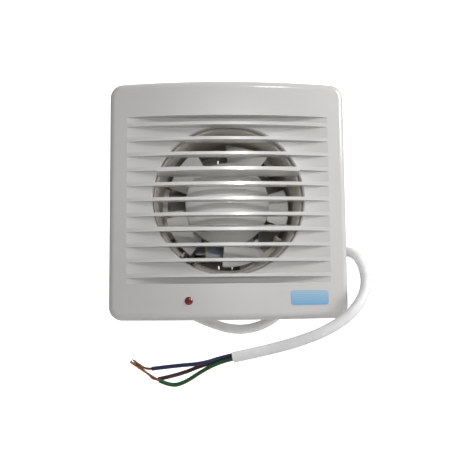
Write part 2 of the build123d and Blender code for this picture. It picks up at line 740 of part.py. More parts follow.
def make_clip():
    rear = boss_rear_y - clip_setback
    ring = pipe(boss_radius + clip_thickness, boss_radius, rear - clip_width, rear)
    return ring - block(0, boss_radius + 3, rear - clip_width - 1, rear + 1, -clip_gap / 2, clip_gap / 2)


def make_rotor():
    rear_y = rotor_front_y + rotor_length
    rotor = pipe(rotor_radius, shaft_radius, rotor_front_y, rear_y)
    for y0 in (rotor_front_y - 1, rear_y - rotor_dish_depth):
        y1 = y0 + rotor_dish_depth + 1
        rotor -= pipe(rotor_radius - rotor_end_ring, shaft_radius + rotor_hub_wall, y0, y1)
    return rotor


def make_washers():
    rear_y = rotor_front_y + rotor_length
    front_limit = stack_front_y - bush_setback + shaft_end_play
    rear_limit = stack_rear_y + bush_setback - shaft_end_play
    front = pipe(washer_radius, shaft_radius, front_limit, rotor_front_y)
    return Compound(children=[front, pipe(washer_radius, shaft_radius, rear_y, rear_limit)])


# ================================================================ motor
def make_stack():
    half = stack_width / 2
    stack = block(-half, half, stack_front_y, stack_rear_y, stack_bottom, stack_top)
    stack = fillet(stack.edges().filter_by(Axis.Y), stack_corner)
    window_low = stack_bottom + coil_limb
    stack -= block(-window_half_width, window_half_width, stack_front_y - 1, stack_rear_y + 1,
                   window_low, window_low + window_height)
    stack -= rod(stack_bore, stack_front_y - 1, stack_rear_y + 1)
    for x in (-motor_screw_spacing / 2, motor_screw_spacing / 2):
        stack -= rod(motor_screw_hole, stack_front_y - 1, stack_rear_y + 1, x, 0)
    for angle in shading_angles:
        stack -= around(angle, shading_cut(shading_slot))
    return stack


def shading_cut(size):
    inner = stack_bore - 1.0
    return block(inner, stack_bore + shading_reach, stack_front_y - 1, stack_rear_y + 1, -size / 2, size / 2)


def make_shading_rings():
    """A copper strap loop round each shaded pole tip, lying in its slot and across the stack's faces."""
    rings = []
    radius = stack_bore + shading_reach - shading_ring_size
    for angle in shading_angles:
        bar = block(radius, radius + shading_ring_size, stack_front_y - shading_stand_out,
                    stack_rear_y + shading_stand_out,
                    -shading_ring_size / 2, shading_ring_size / 2)
        rings.append(around(angle, bar))
    return Compound(children=rings)


def limb_box(grow, half_x):
    return block(-half_x, half_x, stack_front_y - grow, stack_rear_y + grow,
                 limb_low - grow, limb_high + grow)


def make_bobbin():
    half_x = window_half_width - bobbin_clearance
    inner = bobbin_clearance
    core = limb_box(inner + bobbin_wall, half_x)
    flange_grow = inner + bobbin_wall + winding_thickness + bobbin_flange_margin
    flange = limb_box(flange_grow, half_x) - limb_box(flange_grow + 1, half_x - bobbin_wall)
    return core + flange - limb_box(inner, half_x + 1)


def make_winding():
    half_x = window_half_width - bobbin_clearance - bobbin_wall - winding_end_gap
    inner = bobbin_clearance + bobbin_wall
    coil = limb_box(inner + winding_thickness, half_x)
    coil = fillet(coil.edges().filter_by(Axis.X), winding_thickness * 0.8)
    return coil - limb_box(inner, half_x + 1)


def make_bracket(face_y, direction):
    """A pressed bridge across the stack's face, with the bearing boss in its middle."""
    half = stack_width / 2 - bracket_inset
    plate_end = face_y + direction * bracket_thickness
    boss_end = face_y + direction * (bracket_thickness + bracket_boss_length)
    low, high = sorted((face_y, plate_end))
    bridge = block(-half, half, low, high, -bracket_height / 2, bracket_height / 2)
    bridge = fillet(bridge.edges().filter_by(Axis.Y), bracket_corner)
    low, high = sorted((face_y, boss_end))
    bridge += rod(bearing_boss_radius, low, high)
    bush_low, bush_high = bush_span(face_y, direction)
    bridge -= rod(bush_radius, bush_low, bush_high)
    bridge -= rod(shaft_radius + shaft_hole_clearance, min(low, bush_low) - 1, max(high, bush_high) + 1)
    inner_low, inner_high = sorted((face_y - direction, face_y + direction * bush_setback))
    bridge -= rod(washer_radius + washer_recess_clearance, inner_low, inner_high)
    for x in (-motor_screw_spacing / 2, motor_screw_spacing / 2):
        bridge -= rod(motor_screw_hole, low - 1, high + 1, x, 0)
    return bridge


def bush_span(face_y, direction):
    start = face_y + direction * bush_setback
    return sorted((start, start + direction * bush_length))


def make_bush(face_y, direction):
    low, high = bush_span(face_y, direction)
    return pipe(bush_radius, shaft_radius + bush_clearance, low, high)


def make_motor_screws():
    front = carrier_y - nut_height - motor_screw_tip
    screws = []
    for x in (-motor_screw_spacing / 2, motor_screw_spacing / 2):
        head_end = rear_bracket_rear_y + motor_screw_head_height
        head = rod(motor_screw_head_radius, rear_bracket_rear_y, head_end, x, 0)
        head = fillet(head.edges().group_by(Axis.Y)[-1], 0.8)
        screw = rod(motor_screw_radius, front, rear_bracket_rear_y + 0.5, x, 0) + head
        slot = motor_screw_slot / 2
        slot_end = motor_screw_head_radius - 0.6
        slot_floor = head_end - motor_screw_slot_depth
        screw -= block(x - slot_end, x + slot_end, slot_floor, head_end + 1, -slot, slot)
        screw -= block(x - slot, x + slot, slot_floor, head_end + 1, -slot_end, slot_end)
        screws.append(screw)
    return Compound(children=screws)


def make_motor_nuts():
    nuts = []
    for x in (-motor_screw_spacing / 2, motor_screw_spacing / 2):
        hexagon = RegularPolygon(nut_across / 2, 6, major_radius=False)
        outline = Pos(x, carrier_y, 0) * Rot(90, 0, 0) * hexagon
        nut = extrude(outline, nut_height, dir=(0, -1, 0))
        nuts.append(nut - rod(motor_screw_radius, carrier_y - nut_height - 1, carrier_y + 1, x, 0))
    return Compound(children=nuts)


# ================================================================ terminals and inner wiring
def make_terminal_block():
    body = block(block_left, block_right, block_top_y + tower_height, front_face_y,
                 block_low_z, block_high_z)
    for z in way_zs:
        body += block(block_left + tower_inset, block_right - tower_inset, block_top_y,
                      block_top_y + tower_height + 0.5, z - tower_half_width, z + tower_half_width)
    for z in way_zs:
        body -= cross_rod(clamp_radius, clamp_x0, clamp_x1, wire_y, z)
        body -= cross_rod(clamp_bore, block_left - 1, block_right + 1, wire_y, z)
        for x in terminal_xs:
            body -= rod(tower_bore, block_top_y - 1, wire_y, x, z)
    for x in fixing_xs:
        body += block(x - ear_half_width, x + ear_half_width, front_face_y - ear_height, front_face_y,
                      block_high_z - 1, block_high_z + ear_reach)
        hole_radius = fixing_screw_radius + fixing_screw_clearance
        body -= rod(hole_radius, block_top_y - 1, front_face_y + 1, x, fixing_z)
    return body


def make_terminal_clamps():
    clamps = []
    for z in way_zs:
        clamp = cross_rod(clamp_radius, clamp_x0, clamp_x1, wire_y, z)
        clamp -= cross_rod(clamp_bore, clamp_x0 - 1, clamp_x1 + 1, wire_y, z)
        for x in terminal_xs:
            clamp -= rod(terminal_screw_radius, block_top_y, wire_y, x, z)
        clamps.append(clamp)
    return Compound(children=clamps)


def make_terminal_screws():
    tip_y = wire_y - clamp_bore
    top_y = tip_y - terminal_screw_length
    screws = []
    for z in way_zs:
        for x in terminal_xs:
            screw = rod(terminal_screw_radius, top_y, tip_y, x, z)
            screw -= block(x - 2, x + 2, top_y - 1, top_y + terminal_slot_depth,
                           z - terminal_slot_width / 2, z + terminal_slot_width / 2)
            screws.append(screw)
    return Compound(children=screws)


def make_fixing_screws():
    head_y = front_face_y - ear_height
    screws = []
    for x in fixing_xs:
        tip_y = front_face_y + fixing_thread_depth - fixing_tip_gap
        screw = rod(fixing_screw_radius, head_y, tip_y, x, fixing_z)
        screw += rod(fixing_head_radius, head_y - fixing_head_height, head_y, x, fixing_z)
        top_y = head_y - fixing_head_height
        screw -= block(x - 3, x + 3, top_y - 1, top_y + fixing_slot_depth,
                       fixing_z - fixing_slot_width / 2, fixing_z + fixing_slot_width / 2)
        screws.append(screw)
    return Compound(children=screws)


def lay_offset(angle, radius=core_lay_radius):
    return radius * math.cos(math.radians(angle)), radius * math.sin(math.radians(angle))


def make_inner_core(way):
    """A supply core from the cut sheath inside the base to its terminal."""
    dx, dz = lay_offset(core_lay_angles[way])
    start = (grommet_x + dx, sheath_end_y, grommet_z + dz)
    turn = (grommet_x + dx, wire_y, grommet_z + dz)
    mouth = (block_left - core_mouth_gap, wire_y, way_zs[way])
    end = (terminal_xs[0], wire_y, way_zs[way])
    if way == way_count - 1:
        mouth = (turn[0], wire_y, way_zs[way])
    radii = [2 * supply_core_radius, core_second_bend]
    return tube([start, turn, mouth, end], 2 * supply_core_radius, radii)


def make_motor_lead(way):
    """A lead from its terminal over the inlet notch and back along the duct wall to the motor."""
    angle = math.radians(lead_angles[way])
    inside = spigot_bore - lead_radius - lead_wall_gap
    outside = spigot_radius + lead_over_wall
    climb_x = block_right + lead_first_run + lead_spacing * way
    over_y = -inlet_height + notch_lead_gap + lead_radius
    notch_in = (inside * math.cos(angle), over_y, inside * math.sin(angle))
    notch_out = (outside * math.cos(angle), over_y, outside * math.sin(angle))
    rear_y = stack_front_y + lead_rear_gap + lead_rear_step * way
    points = [(terminal_xs[1], wire_y, way_zs[way]),
              (climb_x, wire_y, way_zs[way]),
              (climb_x, over_y, lead_climb_z - lead_climb_step * way),
              notch_out,
              notch_in,
              (notch_in[0], rear_y, notch_in[2])]
    if way < 2:
        points.append((-window_half_width + bobbin_clearance, rear_y, notch_in[2]))
    else:
        points.append((notch_in[0], rear_y, stack_bottom))
    radii = [min(radius, lead_largest_bend) for radius in bend_radii(points)]
    return tube(points, 2 * lead_radius, radii)


# ================================================================ cable
def make_grommet():
    bush = turned([(cable_radius, sheath_end_y), (grommet_flange_radius, sheath_end_y),
                   (grommet_flange_radius, front_face_y), (grommet_radius, front_face_y),
                   (grommet_radius, grommet_taper_start_y), (grommet_nose_radius, grommet_nose_y),
                   (cable_radius, grommet_nose_y)])
    return Pos(grommet_x, 0, grommet_z) * bush


def core_points(index, route):
    """A core leaves the cut sheath beside the cable's axis, then follows its own route."""
    end = Vector(*cable_route[-1])
    along = (end - Vector(*cable_route[-2])).normalized()
    side = along.cross(Vector(0, 0, 1)).normalized()
    up = side.cross(along).normalized()
    across, lift = lay_offset(core_lay_angles[index])
    start = end + side * across + up * lift
    return [tuple(start), tuple(start + along * core_lead_out)] + route


def strand_points(core_route, strand_route):
    end = Vector(*core_route[-1])
    along = (end - Vector(*core_route[-2])).normalized()
    return [tuple(end), tuple(end + along * strand_lead_out)] + strand_route


def make_strands():
    pairs = ((blue_route, blue_strand), (brown_route, brown_strand), (green_route, green_strand))
    return Compound(children=[tube(strand_points(core, strand), strand_diameter) for core, strand in pairs])


save("front_cover", make_front_cover())
save("cover_label", make_label())
save("indicator_lens", make_lens())
save("neon_lamp", make_neon())
lamp_leads, lamp_resistor = make_lamp_wiring()
save("lamp_leads", lamp_leads)
save("lamp_resistor", lamp_resistor)
save("base_frame", make_base_frame())
save("flap_left", make_flap(-1))
save("flap_right", make_flap(1))
save("flap_pin", flap_pin(flap_pin_radius))
save("flap_spring_left", make_flap_spring(-1))
save("flap_spring_right", make_flap_spring(1))
save("impeller", make_impeller())
save("hub_clip", make_clip())
save("motor_shaft", rod(shaft_radius, shaft_front_y, shaft_rear_y))
save("rotor", make_rotor())
save("thrust_washers", make_washers())
save("stator_stack", make_stack())
save("shading_rings", make_shading_rings())
save("coil_bobbin", make_bobbin())
save("coil_winding", make_winding())
save("front_bracket", make_bracket(stack_front_y, -1))
save("rear_bracket", make_bracket(stack_rear_y, 1))
save("front_bush", make_bush(stack_front_y, -1))
save("rear_bush", make_bush(stack_rear_y, 1))
save("motor_screws", make_motor_screws())
save("motor_nuts", make_motor_nuts())
save("terminal_block", make_terminal_block())
save("terminal_clamps", make_terminal_clamps())
save("terminal_screws", make_terminal_screws())
save("terminal_fixing_screws", make_fixing_screws())
save("cable_grommet", make_grommet())
save("cable_inside", rod(cable_radius, sheath_end_y, grommet_nose_y, grommet_x, grommet_z))
for way, name in enumerate(("inner_live", "inner_neutral", "inner_earth")):
    save(name, make_inner_core(way))
for way, name in enumerate(("lead_live", "lead_neutral", "lead_earth")):
    save(name, make_motor_lead(way))
save("mains_cable", tube(cable_route, cable_diameter, label="mains_cable"))
save("core_blue", tube(core_points(0, blue_route), core_diameter, label="core_blue"))
save("core_brown", tube(core_points(1, brown_route), core_diameter, label="core_brown"))
save("core_green", tube(core_points(2, green_route), core_diameter, label="core_green"))
save("bare_ends", make_strands())
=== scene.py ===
import math
import random

import bmesh
import bpy
from mathutils import Matrix, Vector


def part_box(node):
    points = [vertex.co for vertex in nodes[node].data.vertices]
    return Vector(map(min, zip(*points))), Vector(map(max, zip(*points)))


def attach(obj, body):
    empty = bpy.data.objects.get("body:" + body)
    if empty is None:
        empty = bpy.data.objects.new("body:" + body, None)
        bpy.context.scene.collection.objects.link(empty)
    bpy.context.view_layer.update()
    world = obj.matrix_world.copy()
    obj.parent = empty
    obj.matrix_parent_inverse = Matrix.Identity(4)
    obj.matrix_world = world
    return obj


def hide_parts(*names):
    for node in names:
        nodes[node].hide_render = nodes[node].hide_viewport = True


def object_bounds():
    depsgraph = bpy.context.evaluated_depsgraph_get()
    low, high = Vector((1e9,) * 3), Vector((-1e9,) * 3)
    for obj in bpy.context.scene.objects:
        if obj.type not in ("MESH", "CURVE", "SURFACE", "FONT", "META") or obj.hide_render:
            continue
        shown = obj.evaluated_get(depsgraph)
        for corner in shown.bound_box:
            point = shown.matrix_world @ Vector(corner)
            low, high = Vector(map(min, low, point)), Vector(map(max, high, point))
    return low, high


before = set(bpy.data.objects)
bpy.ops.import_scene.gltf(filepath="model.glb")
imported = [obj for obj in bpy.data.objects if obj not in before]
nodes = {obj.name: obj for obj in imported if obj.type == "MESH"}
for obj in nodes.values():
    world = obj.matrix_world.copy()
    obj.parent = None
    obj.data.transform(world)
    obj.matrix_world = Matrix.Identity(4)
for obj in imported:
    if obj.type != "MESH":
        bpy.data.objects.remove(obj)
cad_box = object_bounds()


# ------------------------------------------------------------------------------ camera
# A level-ish camera a little left of the fan and below its middle, tilted up at it,
# as someone would hold a fan up in front of them.
camera_place = Vector((-0.01313, -0.42, -0.05543))
camera_turn = 0.0379
camera_tilt = 0.0911
camera_roll = -0.0101
ahead = Vector((math.sin(camera_turn) * math.cos(camera_tilt),
                math.cos(camera_turn) * math.cos(camera_tilt),
                math.sin(camera_tilt)))
level_right = Vector((math.cos(camera_turn), -math.sin(camera_turn), 0))
level_up = level_right.cross(ahead)
right = level_right * math.cos(camera_roll) + level_up * math.sin(camera_roll)
up = level_up * math.cos(camera_roll) - level_right * math.sin(camera_roll)
camera_data = bpy.data.cameras.new("camera")
camera_data.lens = 46.6
camera_data.sensor_width = 36
camera_data.shift_x = 0.0068
camera_data.shift_y = -0.0150
camera_data.clip_start = 0.01
camera = bpy.data.objects.new("camera", camera_data)
bpy.context.scene.collection.objects.link(camera)
camera_axes = Matrix((right, up, -ahead)).transposed().to_4x4()
camera.matrix_world = Matrix.Translation(camera_place) @ camera_axes
bpy.context.scene.camera = camera


# ------------------------------------------------------------------------------ mains cable
# Round white PVC flex with three cores. It leaves the back of the base through its grommet,
# loops behind and under the fan, comes round the right side and ends cut square in front.
cable_thickness = 0.007
cable_line = [
    (-0.062, 0.017, -0.062), (-0.062, 0.029, -0.062), (-0.055, 0.042, -0.0645),
    (-0.039, 0.048, -0.072), (-0.016, 0.0445, -0.084), (0.0085, 0.038, -0.091),
    (0.031, 0.032, -0.085), (0.0465, 0.0275, -0.0685), (0.060, 0.0235, -0.048),
    (0.075, 0.0175, -0.0335), (0.089, 0.0066, -0.0334), (0.0918, -0.0095, -0.044),
    (0.090, -0.0242, -0.0595), (0.0788, -0.033, -0.0745), (0.062, -0.033, -0.0855),
    (0.0425, -0.0295, -0.093), (0.0225, -0.025, -0.0985), (0.002, -0.021, -0.103),
]


def soft_line(name, line, thickness):
    """One smooth line that is round in section and closed at both ends."""
    curve = bpy.data.curves.new(name, "CURVE")
    curve.dimensions = "3D"
    curve.resolution_u = 14
    curve.bevel_depth = thickness / 2
    curve.bevel_resolution = 6
    curve.use_fill_caps = True
    spline = curve.splines.new("NURBS")
    spline.points.add(len(line) - 1)
    for point, place in zip(spline.points, line):
        point.co = (*place, 1)
    spline.order_u = 3
    spline.use_endpoint_u = True
    piece = bpy.data.objects.new(name, curve)
    bpy.context.scene.collection.objects.link(piece)
    return piece


def put(tree, kind, inputs=None, **settings):
    """A shader node with its settings, and the inputs that are linked or leave their usual value."""
    node = tree.nodes.new(kind)
    for name, value in settings.items():
        setattr(node, name, value)
    for name, value in (inputs or {}).items():
        if isinstance(value, bpy.types.NodeSocket):
            tree.links.new(value, node.inputs[name])
        else:
            node.inputs[name].default_value = value
    return node


def blend(tree, share, first, second):
    """A colour that goes from first to second as share goes from 0 to 1. Each may be a socket."""
    mix = put(tree, "ShaderNodeMix", {"Factor": share}, data_type="RGBA")
    for index, value in ((6, first), (7, second)):
        if isinstance(value, bpy.types.NodeSocket):
            tree.links.new(value, mix.inputs[index])
        else:
            mix.inputs[index].default_value = (*value, 1)
    return mix.outputs[2]


def new_group(name, takes, gives):
    """An empty node group with named sockets, and the ends of it to build between."""
    group = bpy.data.node_groups.new(name, "ShaderNodeTree")
    for label, kind, value in takes:
        socket = group.interface.new_socket(label, in_out="INPUT", socket_type=kind)
        socket.default_value = value
    for label, kind in gives:
        group.interface.new_socket(label, in_out="OUTPUT", socket_type=kind)
    taken = group.nodes.new("NodeGroupInput").outputs
    given = group.nodes.new("NodeGroupOutput").inputs
    return group, taken, given


# moulded skin: slow drifts of tone, a fine grain and patches that are a little more or less shiny
skin_group, taken, given = new_group(
    "moulded skin",
    [("Colour", "NodeSocketColor", (0.8, 0.8, 0.8, 1)), ("Shade", "NodeSocketColor", (0.7, 0.7, 0.7, 1)),
     ("Drift Scale", "NodeSocketFloat", 25.0), ("Grain Scale", "NodeSocketFloat", 1500.0),
     ("Shiniest", "NodeSocketFloat", 0.2), ("Dullest", "NodeSocketFloat", 0.35)],
    [("Colour", "NodeSocketColor"), ("Roughness", "NodeSocketFloat"), ("Height", "NodeSocketFloat")])
place = put(skin_group, "ShaderNodeTexCoord").outputs["Object"]
drift = put(skin_group, "ShaderNodeTexNoise",
            {"Vector": place, "Scale": taken["Drift Scale"], "Detail": 3.0, "Roughness": 0.5})
drift_share = put(skin_group, "ShaderNodeMapRange",
                  {"Value": drift.outputs["Fac"], "From Min": 0.35, "From Max": 0.68}).outputs["Result"]
tone = blend(skin_group, drift_share, taken["Colour"], taken["Shade"])
grain = put(skin_group, "ShaderNodeTexNoise",
            {"Vector": place, "Scale": taken["Grain Scale"], "Detail": 2.0, "Roughness": 0.6})
patch = put(skin_group, "ShaderNodeTexNoise",
            {"Vector": place, "Scale": 160.0, "Detail": 4.0, "Roughness": 0.62, "Distortion": 0.6})
gloss = put(skin_group, "ShaderNodeMapRange",
            {"Value": patch.outputs["Fac"], "From Min": 0.3, "From Max": 0.7,
             "To Min": taken["Shiniest"], "To Max": taken["Dullest"]})
skin_group.links.new(tone, given["Colour"])
skin_group.links.new(gloss.outputs["Result"], given["Roughness"])
skin_group.links.new(grain.outputs["Fac"], given["Height"])


def new_material(name):
    """A material, its node tree and the Principled shader that the tree ends in."""
    material = bpy.data.materials.new(name)
    material.use_nodes = True
    return material, material.node_tree, material.node_tree.nodes["Principled BSDF"]


def moulded(name, colour, shade, shiniest, dullest, drift_scale=25.0, grain_scale=1500.0,
            grain_depth=0.00001, edge=0.0, coat=0.0):
    """A moulded or extruded plastic. edge is the radius of its softened corners, in metres."""
    material, tree, shader = new_material(name)
    skin = put(tree, "ShaderNodeGroup", node_tree=skin_group)
    skin.inputs["Colour"].default_value = (*colour, 1)
    skin.inputs["Shade"].default_value = (*shade, 1)
    skin.inputs["Drift Scale"].default_value = drift_scale
    skin.inputs["Grain Scale"].default_value = grain_scale
    skin.inputs["Shiniest"].default_value = shiniest
    skin.inputs["Dullest"].default_value = dullest
    bump = put(tree, "ShaderNodeBump", {"Height": skin.outputs["Height"], "Strength": 0.5,
                                        "Distance": grain_depth})
    if edge:
        soft = put(tree, "ShaderNodeBevel", {"Radius": edge}, samples=4)
        tree.links.new(soft.outputs["Normal"], bump.inputs["Normal"])
    tree.links.new(skin.outputs["Colour"], shader.inputs["Base Color"])
    tree.links.new(skin.outputs["Roughness"], shader.inputs["Roughness"])
    tree.links.new(bump.outputs["Normal"], shader.inputs["Normal"])
    shader.inputs["Coat Weight"].default_value = coat
    shader.inputs["Coat Roughness"].default_value = 0.08
    return material


def finish_node(name, material):
    """Give a CAD piece its material in every slot it has."""
    data = nodes[name].data
    if not data.materials:
        data.materials.append(material)
    for slot in nodes[name].material_slots:
        slot.material = material


cable_white = moulded("cable pvc", (0.90, 0.905, 0.91), (0.83, 0.835, 0.84), 0.20, 0.34,
                      drift_scale=60.0, grain_scale=900.0, grain_depth=0.00003)
mains_cable = soft_line("mains_cable_sheath", cable_line, cable_thickness)
mains_cable.data.materials.append(cable_white)
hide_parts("mains_cable")
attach(mains_cable, "housing")
finish_node("cable_inside", cable_white)


# ------------------------------------------------------------------------------ cable cores
# Three insulated cores spread from the cut sheath towards the left: blue and brown PVC,
# and the earth in green with yellow stripes, which are laid into its skin.
core_thickness = 0.0026
core_lay_radius = 0.00156
core_lead_out = 0.007
sheath_end = Vector(cable_line[-1])
sheath_way = (sheath_end - Vector(cable_line[-2])).normalized()
sheath_side = sheath_way.cross(Vector((0, 0, 1))).normalized()
sheath_up = sheath_side.cross(sheath_way).normalized()
core_facts = {
    "blue": {"angle": 90, "colour": (0.020, 0.026, 0.080), "shade": (0.012, 0.017, 0.055),
             "slot": "blue_pvc", "length": 0.0532,
             "route": [(-0.018, -0.0218, -0.1066), (-0.034, -0.0214, -0.1076),
                       (-0.0505, -0.0196, -0.1096)]},
    "brown": {"angle": 330, "colour": (0.085, 0.042, 0.034), "shade": (0.060, 0.029, 0.022),
              "slot": "brown_pvc", "length": 0.0508,
              "route": [(-0.0175, -0.0164, -0.108), (-0.032, -0.017, -0.1138),
                        (-0.0464, -0.017, -0.1166)]},
    "green": {"angle": 210, "colour": (0.012, 0.085, 0.030), "shade": (0.008, 0.058, 0.02),
              "slot": "green_pvc", "length": 0.0517,
              "route": [(-0.0165, -0.0206, -0.1104), (-0.029, -0.0214, -0.1184),
                        (-0.038, -0.021, -0.1206), (-0.0454, -0.0208, -0.117)]},
}
core_lines = {}
core_skins = {}
for colour_name, facts in core_facts.items():
    across = core_lay_radius * math.cos(math.radians(facts["angle"]))
    lift = core_lay_radius * math.sin(math.radians(facts["angle"]))
    start = sheath_end + sheath_side * across + sheath_up * lift
    line = [tuple(start), tuple(start + sheath_way * core_lead_out)] + facts["route"]
    core = soft_line(f"core_{colour_name}_skin", line, core_thickness)
    core_skins[colour_name] = moulded(f"{colour_name} pvc", facts["colour"], facts["shade"], 0.28, 0.42,
                                      drift_scale=90.0, grain_scale=1200.0, grain_depth=0.00002)
    core.data.materials.append(core_skins[colour_name])
    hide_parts(f"core_{colour_name}")
    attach(core, "housing")
    core_lines[colour_name] = line

stripe_width = 0.0015
stripe_offset = 0.00062
yellow_skin = moulded("yellow pvc", (0.42, 0.36, 0.03), (0.34, 0.28, 0.02), 0.28, 0.42, drift_scale=90.0,
                      grain_scale=1200.0, grain_depth=0.00002)
for label, direction in (("lower", Vector((0.1, -0.40, -0.91))), ("upper", Vector((-0.1, 0.40, 0.91)))):
    shift = direction.normalized() * stripe_offset
    line = [tuple(Vector(place) + shift) for place in core_lines["green"]]
    stripe = soft_line(f"core_green_{label}_stripe", line, stripe_width)
    stripe.data.materials.append(yellow_skin)
    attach(stripe, "housing")


# ------------------------------------------------------------------------------ bare core ends
# The bared ends are fine annealed copper wires, twisted by hand and drawn together
# towards one tip. Each bundle starts inside the cut face of its insulation.
wire_count = 7
wire_thickness = 0.0005
bundle_radius = 0.0005
twist_pitch = 0.0075
wander_share = 0.18
wander_rate = 0.7
wander_shift = 2.1
uneven_places = 4
wire_tuck = 0.0008
strand_lead_out = 0.003
strand_routes = {
    "blue": [(-0.0582, -0.0194, -0.1074), (-0.0632, -0.0194, -0.1032)],
    "brown": [(-0.053, -0.0173, -0.113), (-0.0584, -0.0178, -0.109), (-0.0644, -0.018, -0.1046)],
    "green": [(-0.0524, -0.0209, -0.1126), (-0.058, -0.0209, -0.1092), (-0.0642, -0.0209, -0.1046)],
}


def line_places(line):
    """Places along the smooth line of a route, read back from the line itself."""
    guide = soft_line("guide", line, 0)
    bpy.context.view_layer.update()
    evaluated = guide.evaluated_get(bpy.context.evaluated_depsgraph_get())
    mesh = bpy.data.meshes.new_from_object(evaluated)
    places = [vertex.co.copy() for vertex in mesh.vertices]
    bpy.data.meshes.remove(mesh)
    bpy.data.objects.remove(guide)
    return places


copper, tree, shader = new_material("copper wire")
place = put(tree, "ShaderNodeTexCoord").outputs["Object"]
tarnish = put(tree, "ShaderNodeTexNoise", {"Vector": place, "Scale": 600.0, "Detail": 3.0})
tint = blend(tree, tarnish.outputs["Fac"], (0.40, 0.19, 0.11), (0.20, 0.09, 0.05))
dulling = put(tree, "ShaderNodeMapRange", {"Value": tarnish.outputs["Fac"], "To Min": 0.22, "To Max": 0.5})
tree.links.new(tint, shader.inputs["Base Color"])
tree.links.new(dulling.outputs["Result"], shader.inputs["Roughness"])
shader.inputs["Metallic"].default_value = 1.0


def twisted_bundle(name, places, seed):
    """Fine wires that turn about a line, each with its own small wander and its own cut length."""
    chance = random.Random(seed)
    curve = bpy.data.curves.new(name, "CURVE")
    curve.dimensions = "3D"
    curve.bevel_depth = wire_thickness / 2
    curve.bevel_resolution = 2
    curve.use_fill_caps = True
    for wire in range(wire_count):
        phase = wire * 2 * math.pi / wire_count
        kept = len(places) - chance.randrange(0, uneven_places)
        spline = curve.splines.new("POLY")
        spline.points.add(kept - 1)
        travelled = 0.0
        for index in range(kept):
            here = places[index]
            before = places[max(index - 1, 0)]
            after = places[min(index + 1, len(places) - 1)]
            way = (after - before).normalized()
            side = way.cross(Vector((0, 1, 0))).normalized()
            other = way.cross(side)
            travelled += (here - before).length
            turn = phase + travelled / twist_pitch * 2 * math.pi
            reach = bundle_radius * (1 + wander_share * math.sin(index * wander_rate + wire * wander_shift))
            offset = side * math.cos(turn) * reach + other * math.sin(turn) * reach
            spline.points[index].co = (*(here + offset), 1)
    piece = bpy.data.objects.new(name, curve)
    bpy.context.scene.collection.objects.link(piece)
    return piece


for seed, (colour_name, route) in enumerate(strand_routes.items()):
    core_route = core_facts[colour_name]["route"]
    core_end = Vector(core_route[-1])
    core_way = (core_end - Vector(core_route[-2])).normalized()
    line = [tuple(core_end - core_way * wire_tuck), tuple(core_end + core_way * strand_lead_out)] + route
    bundle = twisted_bundle(f"bare_wires_{colour_name}", line_places(line), seed)
    bundle.data.materials.append(copper)
    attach(bundle, "housing")
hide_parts("bare_ends")


# ------------------------------------------------------------------------------ base frame
# One moulding in white ABS carries everything: wall plate, rim, inlet ring, duct spigot,
# three struts with the motor plate, ribs and screw bosses. It screws flat to the wall.
base_white = moulded("base abs", (0.66, 0.635, 0.585), (0.59, 0.565, 0.515), 0.32, 0.50,
                     drift_scale=14.0, grain_scale=2200.0, grain_depth=0.00002, edge=0.0003)
finish_node("base_frame", base_white)


# ------------------------------------------------------------------------------ backdraft shutter
# Two thin moulded flaps hang on one steel pin across the spigot. Each has a small
# close-wound spring of music wire that lays it back on its ledge when the air stops.
flap_grey = moulded("flap plastic", (0.72, 0.69, 0.62), (0.64, 0.61, 0.54), 0.35, 0.55,
                    drift_scale=30.0, grain_scale=1800.0, grain_depth=0.00003, edge=0.0002)
finish_node("flap_left", flap_grey)
finish_node("flap_right", flap_grey)

# worked metal: drawn or ground lines along one direction, with a little staining between them
metal_group, taken, given = new_group(
    "worked metal",
    [("Colour", "NodeSocketColor", (0.6, 0.6, 0.6, 1)), ("Stain", "NodeSocketColor", (0.4, 0.4, 0.4, 1)),
     ("Line Scale", "NodeSocketVector", (2500.0, 60.0, 2500.0)),
     ("Shiniest", "NodeSocketFloat", 0.2), ("Dullest", "NodeSocketFloat", 0.45)],
    [("Colour", "NodeSocketColor"), ("Roughness", "NodeSocketFloat"), ("Height", "NodeSocketFloat")])
place = put(metal_group, "ShaderNodeTexCoord").outputs["Object"]
stretched = put(metal_group, "ShaderNodeVectorMath", operation="MULTIPLY")
metal_group.links.new(place, stretched.inputs[0])
metal_group.links.new(taken["Line Scale"], stretched.inputs[1])
lines = put(metal_group, "ShaderNodeTexNoise", {"Vector": stretched.outputs["Vector"], "Scale": 1.0,
                                                "Detail": 3.0, "Roughness": 0.6})
stains = put(metal_group, "ShaderNodeTexNoise", {"Vector": place, "Scale": 220.0, "Detail": 5.0,
                                                 "Roughness": 0.65})
stain_share = put(metal_group, "ShaderNodeMapRange",
                  {"Value": stains.outputs["Fac"], "From Min": 0.42, "From Max": 0.75}).outputs["Result"]
tone = blend(metal_group, stain_share, taken["Colour"], taken["Stain"])
gloss = put(metal_group, "ShaderNodeMapRange",
            {"Value": lines.outputs["Fac"], "From Min": 0.3, "From Max": 0.7,
             "To Min": taken["Shiniest"], "To Max": taken["Dullest"]})
metal_group.links.new(tone, given["Colour"])
metal_group.links.new(gloss.outputs["Result"], given["Roughness"])
metal_group.links.new(lines.outputs["Fac"], given["Height"])


